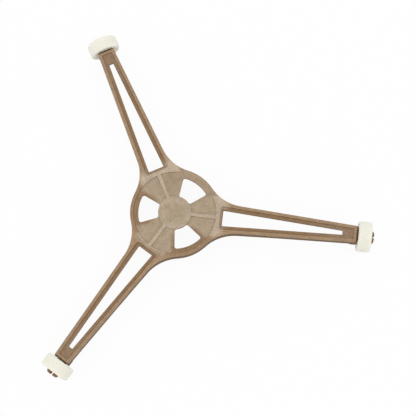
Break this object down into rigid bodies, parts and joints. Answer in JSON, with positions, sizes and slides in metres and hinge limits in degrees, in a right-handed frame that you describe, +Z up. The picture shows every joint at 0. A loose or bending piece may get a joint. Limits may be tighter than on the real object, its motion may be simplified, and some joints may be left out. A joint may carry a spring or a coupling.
{
  "type": "microwave turntable roller support",
  "caption": "Three-arm moulded spider with a windowed hub and slotted arms that carries a turntable tray on a free-turning roller at each arm's end.",
  "frame": {"origin": "on the hub's axis, in the plane that the rollers run on", "axes": "+Z up along the hub's axis, +X along the first arm"},
  "size_m": [0.1772, 0.2022, 0.0175],
  "materials": {
    "frame_plastic": "satin brown-beige moulded plastic",
    "roller_plastic": "satin cream-white moulded plastic"
  },
  "bodies": {
    "frame": {"roller_frame": "frame_plastic"},
    "roller_1": {"roller_1": "roller_plastic"},
    "roller_2": {"roller_2": "roller_plastic"},
    "roller_3": {"roller_3": "roller_plastic"}
  },
  "joints": [
    {"name": "roller_1_spin", "type": "hinge", "parent": "frame", "child": "roller_1", "pos_m": [0.1084, 0, 0.00875], "axis": [1, 0, 0], "continuous": true},
    {"name": "roller_2_spin", "type": "hinge", "parent": "frame", "child": "roller_2", "pos_m": [-0.0542, 0.09388, 0.00875], "axis": [-0.5, 0.866, 0], "continuous": true},
    {"name": "roller_3_spin", "type": "hinge", "parent": "frame", "child": "roller_3", "pos_m": [-0.0542, -0.09388, 0.00875], "axis": [-0.5, -0.866, 0], "continuous": true}
  ]
}
